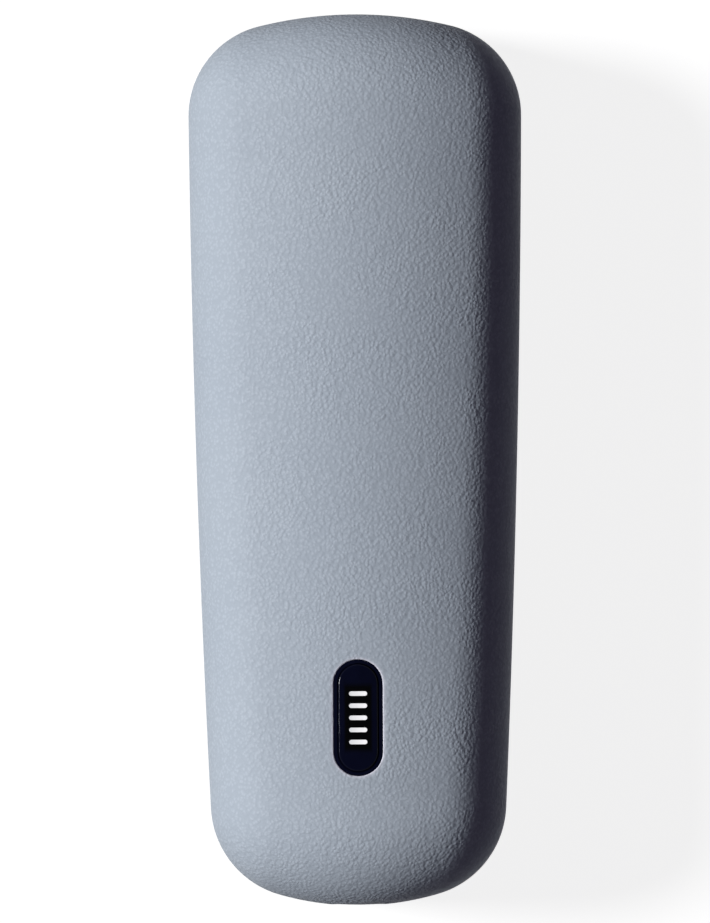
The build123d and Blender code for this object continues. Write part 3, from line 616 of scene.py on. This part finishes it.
# Finishes
def leather():
    """Fine pebbled leatherette: small slanting pebbles, broken by smoother patches."""
    made, tree, shader, place = new_material("leatherette", Specular_IOR_Level=0.1)
    warp = put(tree, "TexNoise", {"Vector": place, "Scale": WARP_SCALE, "Detail": 2.0}).outputs["Color"]
    pull = put(tree, "VectorMath", {0: warp, 1: (PEBBLE_WARP,) * 3}, operation="MULTIPLY").outputs[0]
    moved = put(tree, "VectorMath", {0: place, 1: pull}, operation="ADD").outputs[0]
    slant = {"Vector": moved, "Rotation": (0, 0, math.radians(PEBBLE_SLANT)), "Scale": PEBBLE_STRETCH}
    slanted = put(tree, "Mapping", slant, vector_type="TEXTURE").outputs["Vector"]
    cells = {"Vector": slanted, "Scale": PEBBLE_SCALE, "Smoothness": PEBBLE_SMOOTHNESS}
    pebble = put(tree, "TexVoronoi", cells, feature="SMOOTH_F1").outputs["Distance"]
    fine = math_node(tree, "MULTIPLY", noise(tree, place, scale=3300.0, detail=2.0), FINE_GRAIN)
    height = math_node(tree, "ADD", math_node(tree, "SUBTRACT", 1.0, pebble), fine)
    patch = scaled(tree, noise(tree, place, scale=75.0, detail=3.0), SMOOTH_PATCH, ROUGH_PATCH, 0.35, 0.65)
    bumped(tree, shader, math_node(tree, "MULTIPLY", height, patch), PEBBLE_DEPTH)
    # Tone by grain height: the hollows are painted darker as shade, the pebble tops lighter
    tone = ramp(tree, height, [(0.6, LEATHER_HOLLOW_SHADE), (1.0, LEATHER_PEBBLE)])
    cloud = noise(tree, place, scale=26.0, detail=3.0)
    wash = ramp(tree, cloud, [(0.3, (0.965, 0.97, 0.98)), (0.7, (1.0, 1.0, 1.0))])
    colour = mixed(tree, 1.0, tone, wash, "MULTIPLY")
    # Painted highlight: the turned edges at the window and at the rim are mixed towards a pale colour
    edge = put(tree, "Attribute", attribute_name="turned").outputs["Fac"]
    painted_highlight = mixed(tree, math_node(tree, "POWER", edge, PAINTED_HIGHLIGHT_FADE), colour, LEATHER_PAINTED_HIGHLIGHT)
    feed(tree, shader, Base_Color=painted_highlight, Roughness=scaled(tree, height, 0.66, 0.52))
    return made


def grained_plastic(name, colour, light, roughness, scale, depth):
    """Moulded plastic with a fine spark-eroded texture and faint handling marks."""
    made, tree, shader, place = new_material(name, Specular_IOR_Level=0.45)
    rub = noise(tree, place, scale=70.0, detail=4.0, Distortion=0.8)
    tone = ramp(tree, rub, [(0.3, colour), (0.75, light)])
    feed(tree, shader, Base_Color=tone, Roughness=scaled(tree, rub, roughness - 0.07, roughness + 0.08))
    bumped(tree, shader, noise(tree, place, scale, detail=3.0), depth)
    return made


def flocking():
    """Short dark pile, brushed slightly unevenly."""
    made, tree, shader, place = new_material(
        "flocked_lining", Roughness=0.95, Specular_IOR_Level=0.15,
        Sheen_Weight=0.6, Sheen_Roughness=0.35, Sheen_Tint=(0.45, 0.5, 0.6, 1))
    pile = noise(tree, place, scale=2600.0, detail=4.0, Roughness=0.7)
    nap = noise(tree, place, scale=55.0, detail=3.0, Distortion=1.2)
    fibre = ramp(tree, pile, [(0.35, (0.045, 0.048, 0.056)), (0.7, (0.135, 0.143, 0.165))])
    brush = ramp(tree, nap, [(0.3, (0.75, 0.76, 0.8)), (0.7, (1.0, 1.0, 1.0))])
    feed(tree, shader, Base_Color=mixed(tree, 1.0, fibre, brush, "MULTIPLY"))
    bumped(tree, shader, pile, 0.00025)
    return made


def window_gloss():
    """High-gloss navy with a black panel behind the bars, and the faintest haze from wiping."""
    made, tree, shader, place = new_material("window_gloss", Specular_IOR_Level=0.25)
    haze = noise(tree, place, scale=160.0, detail=4.0, Distortion=1.0)
    tint = ramp(tree, haze, [(0.35, NAVY_DARK), (0.75, NAVY_LIGHT)])
    split = put(tree, "SeparateXYZ", {"Vector": place}).outputs
    across = math_node(tree, "ABSOLUTE", split["X"], 0.0)
    along = math_node(tree, "ABSOLUTE", math_node(tree, "SUBTRACT", split["Y"], WINDOW_Y * MM), 0.0)
    share_across = math_node(tree, "DIVIDE", across, PANEL_HALF_WIDTH * MM)
    share_along = math_node(tree, "DIVIDE", along, PANEL_HALF_LENGTH * MM)
    reach = math_node(tree, "MAXIMUM", share_across, share_along)
    outside = scaled(tree, reach, 0.0, 1.0, 1 - PANEL_FADE, 1 + PANEL_FADE)
    colour = mixed(tree, outside, PANEL_BLACK, tint)
    feed(tree, shader, Base_Color=colour, Roughness=scaled(tree, haze, 0.05, 0.14))
    return made


def lit_bar():
    """Milky light guide, lit from below and a little uneven along its length."""
    made, tree, shader, place = new_material("lit_bar", Roughness=0.4, Emission_Strength=0.3)
    across = put(tree, "SeparateXYZ", {"Vector": place}).outputs["X"]
    half = BAR_LENGTH / 2 * GLOW_SPAN * MM
    along = scaled(tree, across, 0.0, 1.0, -half, half)
    grain = scaled(tree, noise(tree, place, scale=1500.0, detail=2.0), -GLOW_GRAIN, GLOW_GRAIN)
    glow = math_node(tree, "ADD", along, grain)
    milk = ramp(tree, glow, [(0.0, (0.72, 0.73, 0.75)), (0.8, (0.95, 0.95, 0.96))])
    light = ramp(tree, glow, [(0.0, (0.7, 0.71, 0.74)), (0.8, (1.0, 1.0, 1.0))])
    feed(tree, shader, Base_Color=milk, Emission_Color=light)
    return made


def metal(name, colour, roughness):
    """Plated metal with fine machining marks and a little dulling."""
    made, tree, shader, place = new_material(name, Metallic=1.0)
    marks = noise(tree, place, scale=900.0, detail=3.0)
    darker = tuple(c * 0.78 for c in colour)
    tone = ramp(tree, noise(tree, place, scale=240.0, detail=3.0), [(0.3, darker), (0.65, colour)])
    feed(tree, shader, Base_Color=tone, Roughness=scaled(tree, marks, roughness - 0.08, roughness + 0.12))
    bumped(tree, shader, marks, 0.00001)
    return made


def rubber(name, colour):
    """Matte silicone with a dusty bloom."""
    made, tree, shader, place = new_material(name, Roughness=0.82, Specular_IOR_Level=0.3)
    lighter = tuple(c * 1.7 + 0.01 for c in colour)
    bloom = ramp(tree, noise(tree, place, scale=130.0, detail=5.0), [(0.4, colour), (0.8, lighter)])
    feed(tree, shader, Base_Color=bloom)
    bumped(tree, shader, noise(tree, place, scale=2400.0, detail=2.0), 0.00004)
    return made


def circuit_board():
    """Green solder mask over a faint net of tracks."""
    made, tree, shader, place = new_material("circuit_board", Roughness=0.35)
    net = {"Vector": place, "Scale": 420.0}
    tracks = put(tree, "TexVoronoi", net, distance="CHEBYCHEV", feature="DISTANCE_TO_EDGE")
    edge = math_node(tree, "LESS_THAN", tracks.outputs["Distance"], 0.06)
    feed(tree, shader, Base_Color=ramp(tree, edge, [(0.0, (0.012, 0.09, 0.04)), (1.0, (0.02, 0.16, 0.07))]))
    bumped(tree, shader, edge, 0.00003)
    return made


def cell_foil():
    """Crinkled pouch foil."""
    made, tree, shader, place = new_material("cell_foil", Metallic=0.9, Roughness=0.38)
    crinkle = noise(tree, place, scale=110.0, detail=5.0, Distortion=1.5)
    feed(tree, shader, Base_Color=ramp(tree, crinkle, [(0.3, (0.5, 0.51, 0.53)), (0.7, (0.72, 0.73, 0.75))]))
    bumped(tree, shader, crinkle, 0.0004)
    return made


# Repeated pieces, by Geometry Nodes
def repeat_tree(name, sizes):
    """An empty tree with a geometry input, named sizes and a geometry output."""
    tree = bpy.data.node_groups.new(name, "GeometryNodeTree")
    tree.interface.new_socket("Places", in_out="INPUT", socket_type="NodeSocketGeometry")
    for label in sizes:
        tree.interface.new_socket(label, in_out="INPUT", socket_type="NodeSocketFloat")
    tree.interface.new_socket("Geometry", in_out="OUTPUT", socket_type="NodeSocketGeometry")
    return tree, tree.nodes.new("NodeGroupInput").outputs


def joined(tree, shapes):
    made = put(tree, "GeometryNodeJoinGeometry")
    for shape in shapes:
        tree.links.new(shape, made.inputs["Geometry"])
    return made.outputs["Geometry"]


def finish_tree(tree, places, shapes, turn, finish):
    """Sets the joined shapes on every place, and ends in Realize Instances and Set Material."""
    spread = {"Points": places, "Instance": joined(tree, shapes), "Rotation": turn}
    copies = put(tree, "GeometryNodeInstanceOnPoints", spread).outputs["Instances"]
    real = put(tree, "GeometryNodeRealizeInstances", {"Geometry": copies}).outputs["Geometry"]
    dressed = put(tree, "GeometryNodeSetMaterial", {"Geometry": real, "Material": finish})
    put(tree, "NodeGroupOutput", {"Geometry": dressed.outputs["Geometry"]})


def grow_pieces(name, tree, sizes, places):
    """Runs a tree on places and sizes in millimetres and gives the plain mesh that it makes."""
    mesh = bmesh.new()
    for place in places:
        mesh.verts.new(Vector(place) * MM)
    piece = finish_mesh(name, mesh)
    change = piece.modifiers.new("repeat", "NODES")
    change.node_group = tree
    for item in tree.interface.items_tree:
        if item.in_out == "INPUT" and item.name in sizes:
            change[item.identifier] = float(sizes[item.name])
    plain_mesh(piece)
    smooth_by_angle(piece)
    return piece


def in_metres(sizes):
    return {label: value * MM for label, value in sizes.items()}


def lathed(tree, end, count, radius):
    """A turned shape from Z = 0 to its end, whose radius follows a field."""
    up = put(tree, "CombineXYZ", {"Z": end}).outputs[0]
    low = put(tree, "CombineXYZ", {"Z": 0.0}).outputs[0]
    line = put(tree, "GeometryNodeCurvePrimitiveLine", {"Start": low, "End": up}).outputs["Curve"]
    fine = put(tree, "GeometryNodeResampleCurve", {"Curve": line, "Count": count}).outputs["Curve"]
    circle = {"Resolution": SCREW_SIDES, "Radius": 1.0}
    ring = put(tree, "GeometryNodeCurvePrimitiveCircle", circle).outputs["Curve"]
    turned = {"Curve": fine, "Profile Curve": ring, "Scale": radius, "Fill Caps": True}
    return put(tree, "GeometryNodeCurveToMesh", turned).outputs["Mesh"]


def screw_head(tree, radius, height):
    """A domed head with a cross recess."""
    share = put(tree, "GeometryNodeSplineParameter").outputs["Factor"]
    fall = math_node(tree, "SUBTRACT", 1.0, math_node(tree, "POWER", share, HEAD_SQUARENESS))
    dome = math_node(tree, "SQRT", fall, 0.0)
    rounded = math_node(tree, "MAXIMUM", dome, HEAD_EDGE)
    head = lathed(tree, height, HEAD_POINTS, math_node(tree, "MULTIPLY", radius, rounded))
    recessed = put(tree, "GeometryNodeMeshBoolean", {"Mesh 1": head}, operation="DIFFERENCE", solver="EXACT")
    arm = math_node(tree, "MULTIPLY", radius, RECESS_LENGTH)
    slot = math_node(tree, "MULTIPLY", radius, RECESS_WIDTH)
    deep = math_node(tree, "MULTIPLY", height, RECESS_DEPTH)
    top = put(tree, "CombineXYZ", {"Z": height}).outputs[0]
    for x, y in ((arm, slot), (slot, arm)):
        size = put(tree, "CombineXYZ", {"X": x, "Y": y, "Z": deep}).outputs[0]
        block = put(tree, "GeometryNodeMeshCube", {"Size": size}).outputs["Mesh"]
        cutter = put(tree, "GeometryNodeTransform", {"Geometry": block, "Translation": top}).outputs[0]
        tree.links.new(cutter, recessed.inputs["Mesh 2"])
    return recessed.outputs["Mesh"]


def screw_shank(tree, radius, length):
    """A shank with a ridge at every second point."""
    ridge = math_node(tree, "MODULO", put(tree, "GeometryNodeInputIndex").outputs[0], 2.0)
    worn = math_node(tree, "SUBTRACT", 1.0, math_node(tree, "MULTIPLY", ridge, RIDGE_DEPTH))
    end = math_node(tree, "MULTIPLY", length, -1.0)
    return lathed(tree, end, THREAD_POINTS, math_node(tree, "MULTIPLY", radius, worn))


def screw_tree(finish):
    """Cross-head screws with their heads along +Z, each turned by chance about its own line."""
    labels = ("Head Radius", "Head Height", "Shank Radius", "Shank Length", "Turn")
    tree, sizes = repeat_tree("cross_head_screws", labels)
    head = screw_head(tree, sizes["Head Radius"], sizes["Head Height"])
    shank = screw_shank(tree, sizes["Shank Radius"], sizes["Shank Length"])
    twist = put(tree, "FunctionNodeRandomValue", {2: 0.0, 3: math.pi, "Seed": SCREW_SEED}).outputs[1]
    turn = put(tree, "CombineXYZ", {"X": sizes["Turn"], "Z": twist}).outputs[0]
    finish_tree(tree, sizes["Places"], (shank, head), turn, finish)
    return tree


def plate_tree(finish):
    """A rounded plate on every place: a bar of the light guide, or the block under the bars."""
    tree, sizes = repeat_tree("light_guide_plates", ("Width", "Length", "Corner", "Height"))
    plan = {"Width": sizes["Width"], "Height": sizes["Length"]}
    outline = put(tree, "GeometryNodeCurvePrimitiveQuadrilateral", plan).outputs[0]
    soft = {"Curve": outline, "Radius": sizes["Corner"], "Count": CORNER_POINTS}
    rounded = put(tree, "GeometryNodeFilletCurve", soft, mode="POLY").outputs[0]
    sheet = put(tree, "GeometryNodeFillCurve", {"Curve": rounded}, mode="NGONS").outputs[0]
    lift = {"Mesh": sheet, "Offset Scale": sizes["Height"]}
    risen = put(tree, "GeometryNodeExtrudeMesh", lift, mode="FACES").outputs[0]
    under = put(tree, "GeometryNodeFlipFaces", {"Mesh": sheet}).outputs[0]
    both = {"Geometry": joined(tree, (risen, under)), "Distance": 1e-6}
    shape = put(tree, "GeometryNodeMergeByDistance", both).outputs[0]
    finish_tree(tree, sizes["Places"], (shape,), (0, 0, 0), finish)
    return tree


def coil_tree(finish):
    """A wire coil on every place."""
    tree, sizes = repeat_tree("contact_coils", ("Radius", "Wire", "Rise"))
    spiral = {"Resolution": COIL_STEPS, "Rotations": COIL_TURNS, "Start Radius": sizes["Radius"],
              "End Radius": sizes["Radius"], "Height": sizes["Rise"]}
    path = put(tree, "GeometryNodeCurveSpiral", spiral).outputs["Curve"]
    section = {"Resolution": WIRE_SIDES, "Radius": sizes["Wire"]}
    wire = put(tree, "GeometryNodeCurvePrimitiveCircle", section).outputs["Curve"]
    coil = put(tree, "GeometryNodeCurveToMesh", {"Curve": path, "Profile Curve": wire, "Fill Caps": True})
    finish_tree(tree, sizes["Places"], (coil.outputs["Mesh"],), (0, 0, 0), finish)
    return tree


# Pieces made here, each in the place of a piece of the frame
def make_covers(finish):
    lid = cover_mesh("lid_cover", LidForm(), True)
    inlet_end = -LENGTH / 2 + INLET_CUT
    cut(lid, pill_prism("inlet_hole", INLET_WIDTH, INLET_HEIGHT, -LENGTH, inlet_end, PART_Z + INLET_RISE))
    base = cover_mesh("base_cover", BaseForm(), False)
    for piece, body, node in ((lid, "lid", "lid_skin"), (base, "base", "base_skin")):
        smooth_by_angle(piece)
        piece.data.materials.clear()
        piece.data.materials.append(finish)
        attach(piece, body)
        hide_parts(node)


def make_screws(finish):
    tree = screw_tree(finish)
    deck = {"Head Radius": SCREW_HEAD_RADIUS, "Head Height": SCREW_HEAD,
            "Shank Radius": SCREW_RADIUS, "Shank Length": SCREW_LENGTH}
    board = {"Head Radius": BOARD_SCREW_HEAD_RADIUS, "Head Height": BOARD_SCREW_HEAD,
             "Shank Radius": BOARD_SCREW_RADIUS, "Shank Length": BOARD_SCREW_LENGTH}
    deck_plan = [(way * (half_width(y) - inward), y) for y, inward in SCREW_SPOTS for way in (-1, 1)]
    board_plan = [(way * BOARD_SCREW_X, y) for y in BOARD_SCREW_YS for way in (-1, 1)]
    deep = PARTING_GAP / 2 + SCREW_SINK + SCREW_HEAD
    for node, body, sizes, plan, z, turn in (
        ("base_screws", "base", deck, deck_plan, PART_Z - deep, 0.0),
        ("lid_screws", "lid", deck, deck_plan, PART_Z + deep, math.pi),
        ("board_screws", "lid", board, board_plan, BOARD_UNDER, math.pi),
    ):
        sized = {**in_metres(sizes), "Turn": turn}
        piece = grow_pieces(node + "_cross_head", tree, sized, [(x, y, z) for x, y in plan])
        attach(piece, body)
        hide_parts(node)


def make_light_guide(finish):
    """Five bars whose tops follow the crown, on the block that carries them."""
    tree = plate_tree(finish)
    first = WINDOW_Y - BAR_PITCH * (BAR_COUNT - 1) / 2
    rows = [(0, first + i * BAR_PITCH, BAR_FOOT_Z) for i in range(BAR_COUNT)]
    middle = [(0, WINDOW_Y, GUIDE_Z)]
    bar = {"Width": BAR_LENGTH, "Length": BAR_THICKNESS, "Corner": BAR_THICKNESS * BAR_END,
           "Height": BAR_TOP_Z - BAR_FOOT_Z}
    block = {"Width": GUIDE_WIDTH, "Length": GUIDE_LENGTH, "Corner": GUIDE_CORNER, "Height": GUIDE_THICKNESS}
    for name, sizes, places in (("status_bars", bar, rows), ("light_guide_block", block, middle)):
        piece = grow_pieces(name, tree, in_metres(sizes), places)
        for vert in piece.data.vertices:
            if vert.co.z > BAR_BEND_Z * MM:
                vert.co.z -= vert.co.x**2 / (2 * CROWN_RADIUS * MM)
        soften = piece.modifiers.new("rounded edges", "BEVEL")
        soften.width = BAR_ROUND * MM
        soften.segments = BEVEL_STEPS
        soften.limit_method = "ANGLE"
        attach(piece, "button")
        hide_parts("light_guide")


def make_return_ring(finish):
    """A silicone ring with a slight waist."""
    right = [pill_point(RING_WIDTH, RING_LENGTH, i / RING_STEPS) for i in range(RING_STEPS + 1)]
    left = [(mirror(place), mirror(way)) for place, way in right[-2:0:-1]]
    section = ((0, 0), (RING_WAIST, 0.5), (0, 1), (RING_WALL, 1), (RING_WALL, 0))
    form = LidForm()
    mesh = bmesh.new()
    loops = []
    for place, way in right + left:
        loop = []
        for inset, share in section:
            spot = place - way * inset
            top = form.height(spot.x, RING_UNDER_CROWN)
            z = RING_FOOT_Z + (top - RING_FOOT_Z) * share
            loop.append(mesh.verts.new(Vector((spot.x, spot.y + WINDOW_Y, z)) * MM))
        loops.append(loop)
    join_loops(mesh, loops)
    bmesh.ops.recalc_face_normals(mesh, faces=mesh.faces)
    ring = finish_mesh("button_return_ring", mesh)
    smooth_by_angle(ring)
    ring.data.materials.append(finish)
    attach(ring, "lid")
    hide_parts("button_return_pad")
    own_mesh(ring)


def make_contact_coils(finish):
    """Two wire coils, one for each charging contact."""
    tree = coil_tree(finish)
    sized = in_metres({"Radius": COIL_RADIUS, "Wire": COIL_WIRE, "Rise": COIL_HIGH_Z - COIL_LOW_Z})
    for side, x in (("left", -COIL_X), ("right", COIL_X)):
        piece = grow_pieces(f"contact_coil_{side}", tree, sized, [(x, COIL_Y, COIL_LOW_Z)])
        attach(piece, "lid")
        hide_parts(f"contact_spring_{side}")
        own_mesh(piece)


# Pieces that keep their shape
def dress(finish, *names):
    for name in names:
        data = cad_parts[name].data
        data.materials.clear()
        data.materials.append(finish)


def dress_all(make, table):
    """Makes each finish of a table, dresses its pieces and gives the finishes by name."""
    finishes = {}
    for name, (values, pieces) in table.items():
        finishes[name] = make(name, *values)
        dress(finishes[name], *pieces)
    return finishes


# Camera, floor and light
def make_camera():
    data = bpy.data.cameras.new("camera")
    data.sensor_width = SENSOR_WIDTH
    data.lens = SENSOR_WIDTH * CAMERA_DISTANCE / (FRAME_HEIGHT / PIXELS_PER_MM)
    data.clip_end = VIEW_REACH
    camera = bpy.data.objects.new("camera", data)
    x = (FRAME_WIDTH / 2 - CASE_X) / PIXELS_PER_MM
    y = (CASE_Y - FRAME_HEIGHT / 2) / PIXELS_PER_MM
    camera.location = Vector((x, y, WAIST_Z + CAMERA_DISTANCE)) * MM
    camera.rotation_euler = (0, 0, math.radians(CAMERA_ROLL))
    bpy.context.scene.collection.objects.link(camera)
    bpy.context.scene.camera = camera


def make_floor():
    """A floor that looks white and keeps the shadow, and throws little light back on the case."""
    mesh = bmesh.new()
    bmesh.ops.create_grid(mesh, x_segments=1, y_segments=1, size=FLOOR_REACH)
    floor = finish_mesh("floor", mesh)
    made = bpy.data.materials.new("pale_floor")
    made.use_nodes = True
    tree = made.node_tree
    tree.nodes.clear()
    rays = put(tree, "LightPath").outputs
    seen = math_node(tree, "MAXIMUM", rays["Is Camera Ray"], rays["Is Glossy Ray"])
    seen = math_node(tree, "MAXIMUM", seen, rays["Is Transmission Ray"])
    shade = put(tree, "BsdfDiffuse", {"Color": FLOOR_SEEN})
    glow = put(tree, "Emission", {"Color": WHITE, "Strength": FLOOR_GLOW})
    bright = put(tree, "AddShader", {0: shade.outputs[0], 1: glow.outputs[0]})
    dim = put(tree, "BsdfDiffuse", {"Color": FLOOR_DIM})
    both = put(tree, "MixShader", {0: seen, 1: dim.outputs[0], 2: bright.outputs[0]})
    put(tree, "OutputMaterial", {"Surface": both.outputs[0]})
    floor.data.materials.append(made)


def make_world():
    """White where it is seen, a room of pale walls where gloss mirrors it, and else a faint fill."""
    world = bpy.data.worlds.new("studio")
    bpy.context.scene.world = world
    world.use_nodes = True
    tree = world.node_tree
    tree.nodes.clear()
    rays = put(tree, "LightPath").outputs
    seen = math_node(tree, "MAXIMUM", rays["Is Camera Ray"], rays["Is Transmission Ray"])
    way = put(tree, "SeparateXYZ", {"Vector": put(tree, "TexCoord").outputs["Generated"]}).outputs["Z"]
    room = scaled(tree, way, WALL_GLOW, CEILING_GLOW, WALL_TOP, CEILING_EDGE)
    fill = put(tree, "Background", {"Color": FILL_COLOUR, "Strength": FILL_STRENGTH})
    mirrored = put(tree, "Background", {"Color": WHITE, "Strength": room})
    plain = put(tree, "Background", {"Color": WHITE, "Strength": 1.0})
    glossy = put(tree, "MixShader", {0: rays["Is Glossy Ray"], 1: fill.outputs[0], 2: mirrored.outputs[0]})
    both = put(tree, "MixShader", {0: seen, 1: glossy.outputs[0], 2: plain.outputs[0]})
    put(tree, "OutputWorld", {"Surface": both.outputs[0]})


def make_sun():
    data = bpy.data.lights.new("key", "SUN")
    data.energy = SUN_STRENGTH
    data.angle = math.radians(SUN_SPREAD)
    lamp = bpy.data.objects.new("key", data)
    towards = Vector((-math.sin(math.radians(SUN_TILT)), SUN_LEAN, math.cos(math.radians(SUN_TILT))))
    lamp.rotation_mode = "QUATERNION"
    lamp.rotation_quaternion = towards.to_track_quat("Z", "Y")
    bpy.context.scene.collection.objects.link(lamp)


def main():
    bpy.context.scene.view_settings.view_transform = "Standard"
    make_camera()
    make_floor()
    make_world()
    make_sun()
    make_covers(leather())
    dress_all(grained_plastic, PLASTICS)
    dress(flocking(), "base_liner", "lid_liner")
    dress(window_gloss(), "indicator_bezel", "indicator_button")
    milky = lit_bar()
    dress(milky, "status_leds")
    make_light_guide(milky)
    steel = dress_all(metal, METALS)["screw_steel"]
    make_screws(steel)
    make_contact_coils(steel)
    make_return_ring(dress_all(rubber, RUBBERS)["dark_silicone"])
    dress(circuit_board(), "control_board")
    dress(cell_foil(), "battery_cell")


main()
